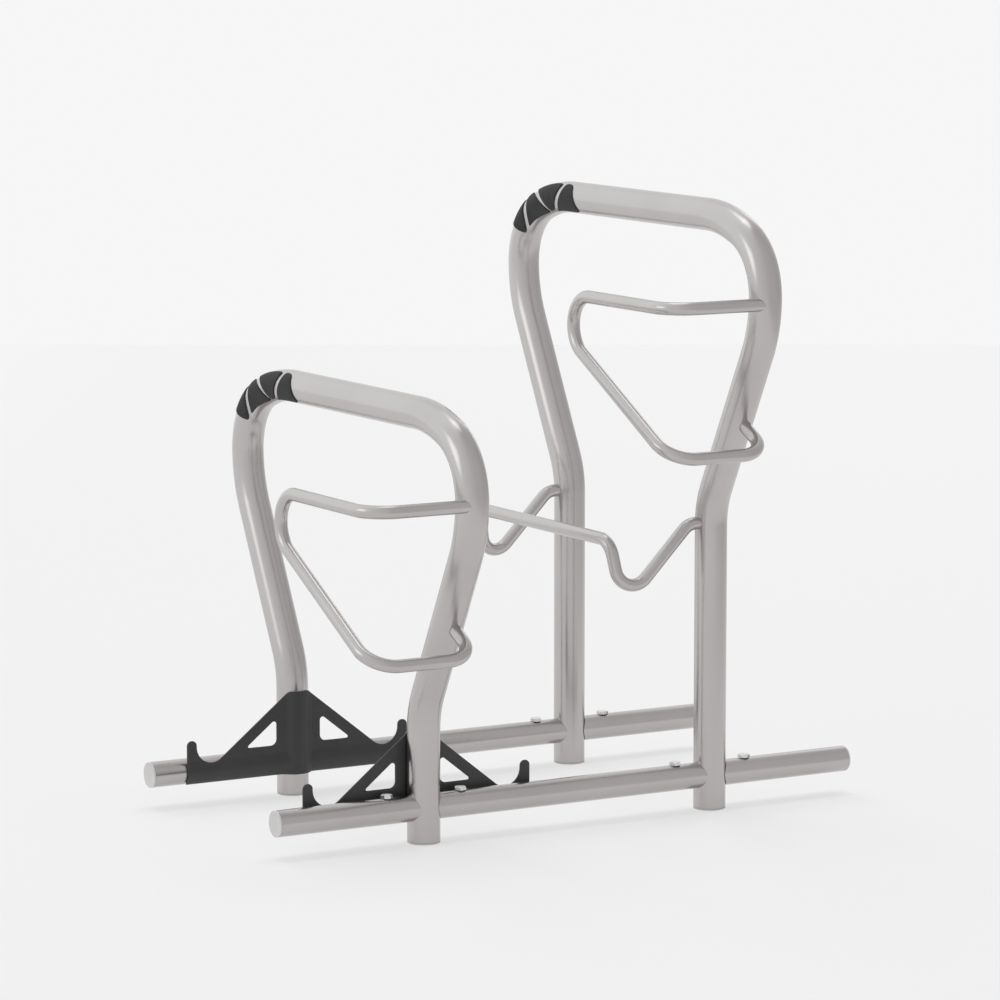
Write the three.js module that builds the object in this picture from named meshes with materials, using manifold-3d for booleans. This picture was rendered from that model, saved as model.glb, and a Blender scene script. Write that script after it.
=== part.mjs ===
// Two tier bicycle rack: a low and a high tube hoop on two floor rails, with bent bars that hold the wheels.
// Millimetres, +Z up, origin on the floor in the middle of the four legs.
// +X runs along the rails to the high hoop, and -Y is the side of the wheel clamps.
import * as THREE from 'three';
import { mergeVertices } from 'three/addons/utils/BufferGeometryUtils.js';
import Module from 'manifold-3d';

const degrees = THREE.MathUtils.degToRad;

// Clearances
const seatGap = 0.3;
const copeGap = 1.3;
const cutOverrun = 5;
const weldTolerance = 0.001;

// Hoops
const hoopSpacing = 611.6;
const legSpacing = 512;
const hoopWidth = 928.7;
const lowHoopHeight = 810.4;
const highHoopHeight = 1141.9;
const hoopDiameter = 60.3;
const hoopWall = 2.9;
const crownRadius = 296.3;
const crownTurn = degrees(20.5);
const crownRun = 11.5;
const shoulderRadius = 124;
const sweepRadius = 229;
const kneeRadius = 157;
const legSlant = degrees(27.41);

// Floor rails
const railDiameter = 48.3;
const railWall = 2.6;
const railHeight = 64.5;
const railLength = 1216;

// Sleeves through the legs, which carry the rails
const sleeveWall = 3.2;
const sleeveLength = 236;
const sleeveClearance = 0.35;

// Rail bolts and the nuts welded under them
const boltOffset = 76;
const boltDiameter = 12;
const boltHeadFlats = 20;
const boltHeadHeight = 5.8;
const boltLength = 25;
const boltClearance = 0.5;
const boltHeadChamfer = 1.2;
const nutHeight = 10;

// End caps of the rails and foot plugs of the legs
const capThickness = 3;
const capChamfer = 0.8;
const plugDepth = 18;
const plugWall = 2.5;
const plugClearance = 0.4;

// Wheel clamps, which stand a little outside the widest place of the leg
const barDiameter = 24;
const clampReach = 209.4;
const clampOffset = 13.8;
const clampLength = 340.7;
const clampSlope = degrees(28.28);
const clampBendRadius = 55.5;
const highClampDrop = 149.7;
const lowClampDrop = 142.9;

// Wheel cradle of the high hoop, which meets the legs a little below their knees
const cradleKneeDrop = 32.7;
const cradleShoulder = 49.6;
const cradleDipReach = 190.7;
const cradleDip = 143.9;
const cradleBarReach = 210.1;
const cradleBarDrop = 21.3;
const cradleBarWidth = 477;
const cradleBendRadius = 34.5;

// Wheel brackets: heights are counted from the rail's axis
const bracketLength = 468.4;
const bracketPlate = 4;
const bracketPlateOffset = 21;
const bracketRise = 136;
const bracketTopLength = 40.4;
const bracketTopRadius = 5;
const bracketShell = 5.2;
const bracketWrap = degrees(50);
const hookRise = 60.7;
const hookWidth = 19.8;
const hookRadius = 9.5;
const notchRise = 16.5;
const notchRadius = 32;
const strutWidth = 21.4;
const windowSide = 46;
const windowRise = 36;
const windowTopRadius = 6;
const windowFootRadius = 12;
const windowToeRadius = 2.8;

// Pads on the far top corner of each hoop: their edges are places along the tube, counted from the
// middle of the top bar, and they change with the way round the tube.
const padThickness = 2.2;
const padStart = 186.5;
const padStartSweep = 34.5;
const padFirstGap = 14;
const padFirstJoint = 244.5;
const padFirstSweep = 36;
const padMiddleGap = 8.5;
const padMiddleFlare = 7;
const padMiddleJoint = 301.5;
const padMiddleSweep = 56;
const padLastGap = 15;
const padLastJoint = 380.2;
const padLastSweep = 40.5;
const padEnd = 438;
const padEndSweep = 11;
const padCorner = 8;
const padBaseOutside = degrees(20);
const padPointOutside = degrees(28);
const padPointInside = degrees(139);
const padBaseInside = degrees(146);

// Fineness of the round faces
const hoopStep = degrees(14);
const barStep = degrees(19);
const outlineStep = degrees(30);
const hoopSides = 20;
const boreSides = 12;
const railSides = 16;
const barSides = 12;
const boltSides = 12;
const capSides = 16;
const padRows = 6;
const padColumns = 4;

const legX = hoopSpacing / 2;
const legY = legSpacing / 2;
const hoopRadius = hoopDiameter / 2;
const railRadius = railDiameter / 2;
const barRadius = barDiameter / 2;
const along = new THREE.Vector3(1, 0, 0);

// Materials
const steel = { color: 0xb9b5ae, roughness: 0.38, metalness: 0.85 };
const zinc = { color: 0xcfccc6, roughness: 0.3, metalness: 0.9 };
const capSteel = { color: 0xc8c6c1, roughness: 0.5, metalness: 0.6 };
const blackPlastic = { color: 0x2b2c2e, roughness: 0.55, metalness: 0 };
const rubber = { color: 0x26272a, roughness: 0.75, metalness: 0 };

// Routes: straight runs joined by round bends

const point = (x, y, z) => new THREE.Vector3(x, y, z);
const corner = (x, y, z, radius = 0) => ({ at: point(x, y, z), radius });

function straight(from, to) {
  const heading = to.clone().sub(from).normalize();
  const locate = (distance) => ({ at: from.clone().addScaledVector(heading, distance), heading });
  return { length: from.distanceTo(to), turn: 0, locate };
}

function bend(from, heading, inward, radius, turn) {
  const locate = (distance) => {
    const angle = distance / radius;
    const at = from.clone()
      .addScaledVector(heading, radius * Math.sin(angle))
      .addScaledVector(inward, radius * (1 - Math.cos(angle)));
    const turned = heading.clone().multiplyScalar(Math.cos(angle)).addScaledVector(inward, Math.sin(angle));
    return { at, heading: turned };
  };
  return { length: radius * turn, turn, locate };
}

// The corner between two runs becomes a bend that is tangent to both.
function roundCorner(before, { at, radius }, after) {
  const into = at.clone().sub(before).normalize();
  const out = after.clone().sub(at).normalize();
  const turn = into.angleTo(out);
  const reach = radius * Math.tan(turn / 2);
  const inward = out.clone().addScaledVector(into, -into.dot(out)).normalize();
  const start = at.clone().addScaledVector(into, -reach);
  const end = at.clone().addScaledVector(out, reach);
  return { start, end, arc: bend(start, into, inward, radius, turn) };
}

class BentRoute extends THREE.Curve {
  constructor(corners, bendStep = hoopStep) {
    super();
    this.pieces = [];
    let from = corners[0].at;
    for (let i = 1; i < corners.length - 1; i++) {
      const { start, end, arc } = roundCorner(corners[i - 1].at, corners[i], corners[i + 1].at);
      if (from.distanceTo(start) > weldTolerance) this.pieces.push(straight(from, start));
      this.pieces.push(arc);
      from = end;
    }
    this.pieces.push(straight(from, corners.at(-1).at));
    this.stations = [this.pieces[0].locate(0)];
    for (const { length, turn, locate } of this.pieces) {
      const steps = Math.max(1, Math.ceil(turn / bendStep));
      for (let k = 1; k <= steps; k++) this.stations.push(locate((length * k) / steps));
    }
  }

  get length() {
    return this.pieces.reduce((sum, { length }) => sum + length, 0);
  }

  // The place and heading at a distance from the start, on the true arcs.
  locate(distance) {
    let left = distance;
    for (const piece of this.pieces) {
      if (left <= piece.length) return piece.locate(left);
      left -= piece.length;
    }
    const last = this.pieces.at(-1);
    return last.locate(last.length + left);
  }

  // One ring of the tube stands at each station, so the straight runs carry no rings of their own.
  getPointAt(u) {
    return this.stations[Math.round(u * (this.stations.length - 1))].at.clone();
  }

  getTangentAt(u) {
    return this.stations[Math.round(u * (this.stations.length - 1))].heading.clone();
  }
}

// Sections and outlines

function polygonPoints(radius, sides) {
  const points = [];
  for (let k = 0; k < sides; k++) {
    const angle = (2 * Math.PI * k) / sides;
    points.push(new THREE.Vector2(radius * Math.cos(angle), radius * Math.sin(angle)));
  }
  return points;
}

// A closed outline with round corners. Each corner is [across, height, radius].
function outlinePoints(corners) {
  const places = corners.map(([across, height]) => point(across, height, 0));
  const points = [];
  corners.forEach(([across, height, radius], i) => {
    if (radius === 0) {
      points.push(new THREE.Vector2(across, height));
      return;
    }
    const before = places.at(i - 1);
    const after = places[(i + 1) % places.length];
    const { arc } = roundCorner(before, { at: places[i], radius }, after);
    const steps = Math.max(2, Math.ceil(arc.turn / outlineStep));
    for (let k = 0; k <= steps; k++) {
      const { at } = arc.locate((arc.length * k) / steps);
      points.push(new THREE.Vector2(at.x, at.y));
    }
  });
  return points;
}

function sweep(route, outerRadius, sides, innerRadius = 0, innerSides = sides) {
  const section = new THREE.Shape(polygonPoints(outerRadius, sides));
  if (innerRadius > 0) section.holes.push(new THREE.Path(polygonPoints(innerRadius, innerSides)));
  return new THREE.ExtrudeGeometry(section, {
    steps: route.stations.length - 1,
    extrudePath: route,
    bevelEnabled: false,
  });
}

// An upright cylinder that is sharp at the bottom and chamfered at the top.
function chamferedDisc(radius, height, chamfer, sides) {
  const profile = [
    new THREE.Vector2(0, 0),
    new THREE.Vector2(radius, 0),
    new THREE.Vector2(radius, height - chamfer),
    new THREE.Vector2(radius - chamfer, height),
    new THREE.Vector2(0, height),
  ];
  return new THREE.LatheGeometry(profile, sides);
}

// Solids

const wasm = await Module();
wasm.setup();

function solid(geometry) {
  const bare = geometry.clone();
  bare.deleteAttribute('normal');
  bare.deleteAttribute('uv');
  const merged = mergeVertices(bare, weldTolerance);
  return new wasm.Manifold(new wasm.Mesh({
    numProp: 3,
    vertProperties: Float32Array.from(merged.attributes.position.array),
    triVerts: Uint32Array.from(merged.index.array),
  }));
}

function geometryOf(body) {
  const { vertProperties, triVerts } = body.getMesh();
  const geometry = new THREE.BufferGeometry();
  geometry.setAttribute('position', new THREE.BufferAttribute(vertProperties, 3));
  geometry.setIndex(new THREE.BufferAttribute(triVerts, 1));
  geometry.computeVertexNormals();
  return geometry;
}

const rack = new THREE.Group();

function place(name, geometry, look, x, y, z) {
  const mesh = new THREE.Mesh(geometry, new THREE.MeshStandardMaterial(look));
  mesh.name = name;
  mesh.position.set(x, y, z);
  rack.add(mesh);
  return mesh;
}

// Hoops

// The corners of a hoop's axis, worked out from its top bar down to its legs.
function hoopLevels(height) {
  const top = height - hoopRadius;
  const widest = hoopWidth / 2 - hoopRadius;
  const shoulderTurn = Math.PI / 2 - crownTurn;
  const crownReach = crownRadius * Math.tan(crownTurn / 2);
  const shoulderReach = shoulderRadius * Math.tan(shoulderTurn / 2);
  const sweepReach = sweepRadius * Math.tan(legSlant / 2);
  const brow = crownReach + crownRun + shoulderReach;
  const crownY = widest - brow * Math.cos(crownTurn);
  const shoulderZ = top - brow * Math.sin(crownTurn);
  const sweepZ = shoulderZ - shoulderReach - sweepReach;
  const kneeZ = sweepZ - (widest - legY) / Math.tan(legSlant);
  return { top, widest, crownY, shoulderZ, sweepZ, kneeZ };
}

function hoopCorners(height, foot) {
  const { top, widest, crownY, shoulderZ, sweepZ, kneeZ } = hoopLevels(height);
  const half = (side) => [
    corner(0, side * legY, foot),
    corner(0, side * legY, kneeZ, kneeRadius),
    corner(0, side * widest, sweepZ, sweepRadius),
    corner(0, side * widest, shoulderZ, shoulderRadius),
    corner(0, side * crownY, top, crownRadius),
  ];
  return [...half(-1), ...half(1).reverse()];
}

const footHeight = capThickness + seatGap;
const hoopBore = hoopRadius - hoopWall;
const railBore = railRadius - railWall;
const sleeveRadius = railBore - sleeveClearance;

function hoopRoute(height, foot = footHeight) {
  return new BentRoute(hoopCorners(height, foot));
}

function straightTube(from, to, outerRadius, sides, innerRadius = 0, innerSides = sides) {
  const route = new BentRoute([{ at: from }, { at: to }]);
  return solid(sweep(route, outerRadius, sides, innerRadius, innerSides));
}

// The outside of a hoop grown by a gap, which cuts whatever meets the hoop.
function hoopCutter(height, gap) {
  return solid(sweep(hoopRoute(height, footHeight - cutOverrun), hoopRadius + gap, hoopSides));
}

const hoopReach = hoopRadius + cutOverrun;
const sleeveHole = (y) => straightTube(
  point(-hoopReach, y, railHeight), point(hoopReach, y, railHeight),
  sleeveRadius + sleeveClearance, railSides,
);

function hoopGeometry(height) {
  const tube = solid(sweep(hoopRoute(height), hoopRadius, hoopSides, hoopBore, boreSides));
  return geometryOf(tube.subtract(sleeveHole(-legY)).subtract(sleeveHole(legY)));
}

const lowCutter = hoopCutter(lowHoopHeight, seatGap);
const highCutter = hoopCutter(highHoopHeight, seatGap);

place('low_hoop', hoopGeometry(lowHoopHeight), steel, -legX, 0, 0);
place('high_hoop', hoopGeometry(highHoopHeight), steel, legX, 0, 0);

// Foot plugs and rail caps: a disc that meets the tube's end, with a cup inside its bore

function endPlug(radius, bore, sides) {
  const cup = bore * Math.cos(Math.PI / sides) - plugClearance;
  const depth = capThickness + plugDepth;
  const profile = [
    new THREE.Vector2(0, 0),
    new THREE.Vector2(radius - capChamfer, 0),
    new THREE.Vector2(radius, capChamfer),
    new THREE.Vector2(radius, capThickness),
    new THREE.Vector2(cup, capThickness),
    new THREE.Vector2(cup, depth),
    new THREE.Vector2(cup - plugWall, depth),
    new THREE.Vector2(cup - plugWall, capThickness),
    new THREE.Vector2(0, capThickness),
  ];
  return new THREE.LatheGeometry(profile, sides).rotateX(Math.PI / 2);
}

const footPlug = endPlug(hoopRadius, hoopBore, boreSides);
for (const [name, x] of [['low', -legX], ['high', legX]]) {
  place(`near_${name}_foot_plug`, footPlug, capSteel, x, -legY, 0);
  place(`far_${name}_foot_plug`, footPlug, capSteel, x, legY, 0);
}

const railEnd = railLength / 2;
const railTubeEnd = railEnd - capThickness - seatGap;
const rightCap = endPlug(railRadius, railBore, capSides).rotateY(-Math.PI / 2);
const leftCap = endPlug(railRadius, railBore, capSides).rotateY(Math.PI / 2);
for (const [side, y] of [['near', -legY], ['far', legY]]) {
  place(`${side}_rail_cap_left`, leftCap, capSteel, -railEnd, y, railHeight);
  place(`${side}_rail_cap_right`, rightCap, capSteel, railEnd, y, railHeight);
}

// Floor rails, each cut square at its free end and hollowed round the leg that it meets

const shankHole = boltDiameter / 2 + boltClearance;
const boltPlaces = [-legX - boltOffset, -legX + boltOffset, legX - boltOffset, legX + boltOffset];

function boltHole(x) {
  return straightTube(point(x, 0, 0), point(x, 0, railRadius + cutOverrun), shankHole, boltSides);
}

// A leg's outside, grown by a gap, where it stands across a rail whose axis is at height zero.
function legCutter(x, gap) {
  const half = railRadius + cutOverrun;
  return straightTube(point(x, 0, -half), point(x, 0, half), hoopRadius + gap, hoopSides);
}

function railGeometry(from, to, cuts) {
  let rail = straightTube(point(from, 0, 0), point(to, 0, 0), railRadius, railSides, railBore);
  for (const cut of cuts) rail = rail.subtract(cut);
  return geometryOf(rail);
}

const [leftBolt, leftMiddleBolt, rightMiddleBolt, rightBolt] = boltPlaces.map(boltHole);
const railParts = {
  left: railGeometry(-railTubeEnd, -legX, [legCutter(-legX, seatGap), leftBolt]),
  middle: railGeometry(-legX, legX, [
    legCutter(-legX, seatGap), legCutter(legX, seatGap), leftMiddleBolt, rightMiddleBolt,
  ]),
  right: railGeometry(legX, railTubeEnd, [legCutter(legX, copeGap), rightBolt]),
};
for (const [part, geometry] of Object.entries(railParts)) {
  place(`near_rail_${part}`, geometry, steel, 0, -legY, railHeight);
  place(`far_rail_${part}`, geometry, steel, 0, legY, railHeight);
}

// Sleeves with a nut welded under each bolt

const sleeveBore = sleeveRadius - sleeveWall;
const nutFlats = boltHeadFlats;
const hexRadius = nutFlats / 2 / Math.cos(Math.PI / 6);

function hexPrism(height) {
  const shape = new THREE.Shape(polygonPoints(hexRadius, 6));
  return new THREE.ExtrudeGeometry(shape, { depth: height, bevelEnabled: false });
}

function sleeveGeometry() {
  const half = sleeveLength / 2;
  const ends = [point(-half, 0, 0), point(half, 0, 0)];
  let sleeve = straightTube(...ends, sleeveRadius, railSides, sleeveBore, boreSides);
  for (const x of [-boltOffset, boltOffset]) {
    // The nut's upper edges stand in the middle of the sleeve's wall.
    const nutTop = Math.sqrt((sleeveBore + sleeveWall / 2) ** 2 - (nutFlats / 2) ** 2);
    const nut = solid(hexPrism(nutHeight).translate(x, 0, nutTop - nutHeight));
    sleeve = sleeve.add(nut).subtract(boltHole(x));
  }
  return geometryOf(sleeve);
}

const sleeve = sleeveGeometry();
for (const [name, x] of [['low', -legX], ['high', legX]]) {
  place(`near_${name}_sleeve`, sleeve, steel, x, -legY, railHeight);
  place(`far_${name}_sleeve`, sleeve, steel, x, legY, railHeight);
}

// Bolts: a chamfered hexagon head that stands on the rail, and a shank down through rail, sleeve and nut

function boltGeometry() {
  const cone = solid(chamferedDisc(hexRadius, boltHeadHeight, boltHeadChamfer, boltSides).rotateX(Math.PI / 2));
  const head = solid(hexPrism(boltHeadHeight)).intersect(cone);
  const shank = straightTube(
    point(0, 0, -boltLength), point(0, 0, boltHeadHeight / 2), boltDiameter / 2, boltSides,
  );
  return geometryOf(head.add(shank));
}

const bolt = boltGeometry();
const boltSeat = railHeight + railRadius + seatGap;
boltPlaces.forEach((x, i) => {
  place(`near_rail_bolt_${i + 1}`, bolt, zinc, x, -legY, boltSeat);
  place(`far_rail_bolt_${i + 1}`, bolt, zinc, x, legY, boltSeat);
});

// Wheel clamps: out of the leg, round a long nose, down a slope and back square on to the slanted leg

function clampGeometry(height, drop, cutter) {
  const { top, widest, kneeZ } = hoopLevels(height);
  const side = -widest - clampOffset;
  const barTop = top - drop;
  const noseCorner = side + clampLength - clampBendRadius + clampBendRadius / Math.tan(clampSlope / 2);
  const barFoot = barTop - (noseCorner - side) * Math.tan(clampSlope);
  const toLeg = (-side - legY) * Math.cos(legSlant) + (kneeZ - barFoot) * Math.sin(legSlant);
  const route = new BentRoute([
    corner(0, side, barTop),
    corner(-clampReach, side, barTop, clampBendRadius),
    corner(-clampReach, noseCorner, barTop, clampBendRadius),
    corner(-clampReach, side, barFoot, clampBendRadius),
    corner(0, side, barFoot, clampBendRadius),
    corner(0, side + toLeg * Math.cos(legSlant), barFoot + toLeg * Math.sin(legSlant)),
  ], barStep);
  return geometryOf(solid(sweep(route, barRadius, barSides)).subtract(cutter));
}

place('low_wheel_clamp', clampGeometry(lowHoopHeight, lowClampDrop, lowCutter), steel, -legX, 0, 0);
place('high_wheel_clamp', clampGeometry(highHoopHeight, highClampDrop, highCutter), steel, legX, 0, 0);

// Wheel cradle: two dips joined by a cross bar

function cradleGeometry() {
  const half = cradleBarWidth / 2;
  const cradleHeight = hoopLevels(highHoopHeight).kneeZ - cradleKneeDrop;
  const side = (sign) => [
    corner(0, sign * legY, cradleHeight),
    corner(-cradleShoulder, sign * legY, cradleHeight, cradleBendRadius),
    corner(-cradleDipReach, sign * legY, cradleHeight - cradleDip, cradleBendRadius),
    corner(-cradleBarReach, sign * half, cradleHeight - cradleBarDrop, cradleBendRadius),
  ];
  const route = new BentRoute([...side(-1), ...side(1).reverse()], barStep);
  return geometryOf(solid(sweep(route, barRadius, barSides)).subtract(highCutter));
}

place('high_wheel_cradle', cradleGeometry(), steel, legX, 0, 0);

// Wheel brackets: a plate with two windows and two hooks, and half shells round the leg and the rail

const bracketTop = railHeight + bracketRise;
const bracketBottom = railHeight - (railRadius + bracketShell) * Math.sin(bracketWrap);
const bracketEnd = bracketLength / 2;
const notchSide = bracketEnd - hookWidth;
const topEnd = bracketTopLength / 2;

// The slope runs from the top's corner down to the notch's circle.
function bracketSlope() {
  const across = notchSide - notchRadius - topEnd;
  const down = bracketRise - notchRise - notchRadius;
  return Math.atan2(down, across) + Math.asin(notchRadius / Math.hypot(across, down));
}

const slope = bracketSlope();
const slopeHeight = (across) => bracketTop - (across - topEnd) * Math.tan(slope);

function bracketOutline() {
  const hookTop = railHeight + hookRise;
  const half = [
    [bracketEnd, bracketBottom, 0],
    [bracketEnd, hookTop, hookRadius],
    [notchSide, hookTop, hookRadius],
    [notchSide, slopeHeight(notchSide), notchRadius],
    [topEnd, bracketTop, bracketTopRadius],
  ];
  const mirrored = half.map(([across, height, radius]) => [-across, height, radius]).reverse();
  return [...half, ...mirrored];
}

// Each window is a three-cornered opening whose long side runs along the slope, a strut's width inside it.
function windowOutline() {
  const foot = railHeight + windowRise;
  const head = slopeHeight(windowSide) - strutWidth / Math.cos(slope);
  const toe = windowSide + (head - foot) / Math.tan(slope);
  return [
    [windowSide, foot, windowFootRadius],
    [toe, foot, windowToeRadius],
    [windowSide, head, windowTopRadius],
  ];
}

// The leg's axis is at X and Y zero. The plate stands on the rail's shell, which wraps the side of the
// rail, and the outline is cut through plate and shells alike.
function bracketGeometry() {
  const shape = new THREE.Shape(outlinePoints(bracketOutline()));
  const window = outlinePoints(windowOutline());
  shape.holes.push(new THREE.Path(window));
  shape.holes.push(new THREE.Path(window.map(({ x, y }) => new THREE.Vector2(-x, y)).reverse()));
  const back = railRadius * Math.cos(bracketWrap);
  const depth = hoopRadius + bracketShell - back;
  const profile = new THREE.ExtrudeGeometry(shape, { depth, bevelEnabled: false })
    .rotateX(Math.PI / 2)
    .translate(0, back + depth, 0);
  const reach = bracketEnd + cutOverrun;
  const top = bracketTop + cutOverrun;
  const plate = new THREE.BoxGeometry(2 * reach, bracketPlate, top - railHeight)
    .translate(0, bracketPlateOffset + bracketPlate / 2, (top + railHeight) / 2);
  const upright = (radius) => straightTube(point(0, 0, 0), point(0, 0, top), radius, hoopSides);
  const lying = (radius) => straightTube(
    point(-reach, 0, railHeight), point(reach, 0, railHeight), radius, railSides,
  );
  const walls = solid(plate)
    .add(upright(hoopRadius + bracketShell))
    .add(lying(railRadius + bracketShell));
  return geometryOf(
    solid(profile).intersect(walls)
      .subtract(upright(hoopRadius + seatGap))
      .subtract(lying(railRadius + seatGap)),
  );
}

const bracket = bracketGeometry();
place('near_wheel_bracket', bracket, blackPlastic, -legX, -legY, 0);
place('far_wheel_bracket', bracket, blackPlastic, -legX, legY, 0).rotation.z = Math.PI;

// Pads: each follows the tube round its bend, between two edges that slant across the tube's side

const padEdges = {
  start: (t) => padStart + padStartSweep * (1 - t) ** 2,
  first: (t) => padFirstJoint + padFirstSweep * t ** 2,
  middle: (t) => padMiddleJoint + padMiddleSweep * (1 - t) ** 1.5,
  last: (t) => padLastJoint + padLastSweep * t ** 4,
  end: (t) => padEnd - padEndSweep * t ** 2,
};
const middleGap = (t) => padMiddleGap + padMiddleFlare * (1 - t);
const pointOutside = [padPointOutside, padBaseInside];
const pointInside = [padBaseOutside, padPointInside];
const padSpans = [
  [padEdges.start, (t) => padEdges.first(t) - padFirstGap / 2, pointOutside],
  [(t) => padEdges.first(t) + padFirstGap / 2, (t) => padEdges.middle(t) - middleGap(t) / 2, pointInside],
  [(t) => padEdges.middle(t) + middleGap(t) / 2, (t) => padEdges.last(t) - padLastGap / 2, pointOutside],
  [(t) => padEdges.last(t) + padLastGap / 2, padEdges.end, pointInside],
];

// A unit box is laid on the tube: its length along the tube, its width round it, its depth outward. Its
// corners are drawn in, and the tube's own outside cuts its seat.
function padGeometry(height, cutter, [from, to, [outside, inside]]) {
  const route = hoopRoute(height);
  const middle = route.length / 2;
  const box = new THREE.BoxGeometry(1, 1, 1, padColumns, padRows, 1);
  const spots = box.attributes.position;
  const width = hoopRadius * (inside - outside);
  for (let i = 0; i < spots.count; i++) {
    const turn = spots.getY(i) + 0.5;
    const angle = THREE.MathUtils.lerp(outside, inside, turn);
    const t = THREE.MathUtils.inverseLerp(padBaseOutside, padBaseInside, angle);
    const fromEnd = Math.max(0, padCorner - width * Math.min(turn, 1 - turn));
    const inset = padCorner - Math.sqrt(padCorner ** 2 - fromEnd ** 2);
    const low = from(t) + inset;
    const high = Math.max(to(t) - inset, low + padThickness);
    const { at, heading } = route.locate(middle + THREE.MathUtils.lerp(low, high, spots.getX(i) + 0.5));
    const outward = heading.clone().cross(along);
    const radius = hoopRadius + spots.getZ(i) * 2 * padThickness;
    at.addScaledVector(outward, -radius * Math.cos(angle)).addScaledVector(along, -radius * Math.sin(angle));
    spots.setXYZ(i, at.x, at.y, at.z);
  }
  return geometryOf(solid(box).subtract(cutter));
}

for (const [name, height, cutter, x] of [
  ['low', lowHoopHeight, lowCutter, -legX],
  ['high', highHoopHeight, highCutter, legX],
]) {
  padSpans.forEach((span, i) => {
    place(`${name}_hoop_pad_${i + 1}`, padGeometry(height, cutter, span), rubber, x, 0, 0);
  });
}

export default rack;
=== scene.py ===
"""The two tier bicycle rack: bent steel tubes and bars, black formed wheel brackets and rubber pads."""
from math import asin, atan2, cos, hypot, pi, radians, sin, sqrt, tan

import bmesh
import bpy
import numpy as np
from mathutils import Matrix, Vector
from mathutils.bvhtree import BVHTree
from mathutils.geometry import delaunay_2d_cdt


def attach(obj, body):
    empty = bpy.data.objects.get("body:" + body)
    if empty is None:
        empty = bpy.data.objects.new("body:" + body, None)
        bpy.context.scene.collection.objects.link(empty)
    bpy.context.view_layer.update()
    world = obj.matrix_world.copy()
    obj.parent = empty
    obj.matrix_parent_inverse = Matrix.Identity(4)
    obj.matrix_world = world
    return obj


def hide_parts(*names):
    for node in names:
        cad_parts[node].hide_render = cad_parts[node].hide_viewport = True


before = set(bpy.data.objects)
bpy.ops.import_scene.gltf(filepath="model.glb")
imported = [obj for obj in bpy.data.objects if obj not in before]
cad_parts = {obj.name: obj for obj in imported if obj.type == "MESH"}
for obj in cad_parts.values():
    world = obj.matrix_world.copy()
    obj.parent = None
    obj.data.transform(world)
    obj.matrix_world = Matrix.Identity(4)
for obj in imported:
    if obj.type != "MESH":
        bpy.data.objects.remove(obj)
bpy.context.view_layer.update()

MM = 0.001

# Hoops: sizes as in the CAD, here and below
HOOP_SPACING = 611.6 * MM
LEG_SPACING = 512 * MM
HOOP_WIDTH = 928.7 * MM
LOW_HOOP_HEIGHT = 810.4 * MM
HIGH_HOOP_HEIGHT = 1141.9 * MM
HOOP_RADIUS = 30.15 * MM
HOOP_BORE = 27.25 * MM
CROWN_RADIUS = 296.3 * MM
CROWN_TURN = radians(20.5)
CROWN_RUN = 11.5 * MM
SHOULDER_RADIUS = 124 * MM
SWEEP_RADIUS = 229 * MM
KNEE_RADIUS = 157 * MM
LEG_SLANT = radians(27.41)
FOOT_HEIGHT = 3.3 * MM

# Floor rails
RAIL_RADIUS = 24.15 * MM
RAIL_BORE = 21.55 * MM
RAIL_HEIGHT = 64.5 * MM
RAIL_LENGTH = 1216 * MM
SEAT_GAP = 0.3 * MM
COPE_GAP = 1.3 * MM

# Discs that close the tubes
CAP_THICKNESS = 3 * MM
CAP_ROUND = 0.8 * MM
CAP_DISH = 0.15 * MM
CUP_DEPTH = 18 * MM
CUP_WALL = 2.5 * MM
CUP_CLEARANCE = 0.5 * MM

# Bolts
BOLT_OFFSET = 76 * MM
BOLT_RADIUS = 6 * MM
BOLT_FLATS = 20 * MM
BOLT_HEAD = 5.8 * MM
BOLT_LENGTH = 25 * MM
BOLT_CHAMFER = radians(30)

# Wheel clamps
BAR_RADIUS = 12 * MM
CLAMP_REACH = 209.4 * MM
CLAMP_OFFSET = 13.8 * MM
CLAMP_LENGTH = 340.7 * MM
CLAMP_SLOPE = radians(28.28)
CLAMP_BEND = 55.5 * MM
HIGH_CLAMP_DROP = 149.7 * MM
LOW_CLAMP_DROP = 142.9 * MM
WELD_DEPTH = 0.2 * MM

# Wheel cradle
CRADLE_KNEE_DROP = 32.7 * MM
CRADLE_SHOULDER = 49.6 * MM
CRADLE_DIP_REACH = 190.7 * MM
CRADLE_DIP = 143.9 * MM
CRADLE_BAR_REACH = 210.1 * MM
CRADLE_BAR_DROP = 21.3 * MM
CRADLE_BAR_WIDTH = 477 * MM
CRADLE_BEND = 34.5 * MM

# Wheel brackets
BRACKET_LENGTH = 468.4 * MM
BRACKET_PLATE = 4 * MM
BRACKET_OFFSET = 21 * MM
BRACKET_RISE = 136 * MM
BRACKET_TOP = 40.4 * MM
BRACKET_TOP_ROUND = 5 * MM
BRACKET_SHELL = 5.2 * MM
BRACKET_WRAP = radians(50)
BRACKET_EDGE = 1.1 * MM
BRACKET_FILLET = 5 * MM
HOOK_RISE = 60.7 * MM
HOOK_WIDTH = 19.8 * MM
HOOK_ROUND = 9.5 * MM
NOTCH_RISE = 16.5 * MM
NOTCH_RADIUS = 32 * MM
STRUT_WIDTH = 21.4 * MM
WINDOW_SIDE = 46 * MM
WINDOW_RISE = 36 * MM
WINDOW_TOP_ROUND = 6 * MM
WINDOW_FOOT_ROUND = 12 * MM
WINDOW_TOE_ROUND = 2.8 * MM

# Pads. The feather is the share of a full quarter round that the edge falls away by.
PAD_THICKNESS = 2.2 * MM
PAD_SEAT = 0.02 * MM
PAD_EDGE = 2.4 * MM
PAD_FEATHER = 0.62

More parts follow.
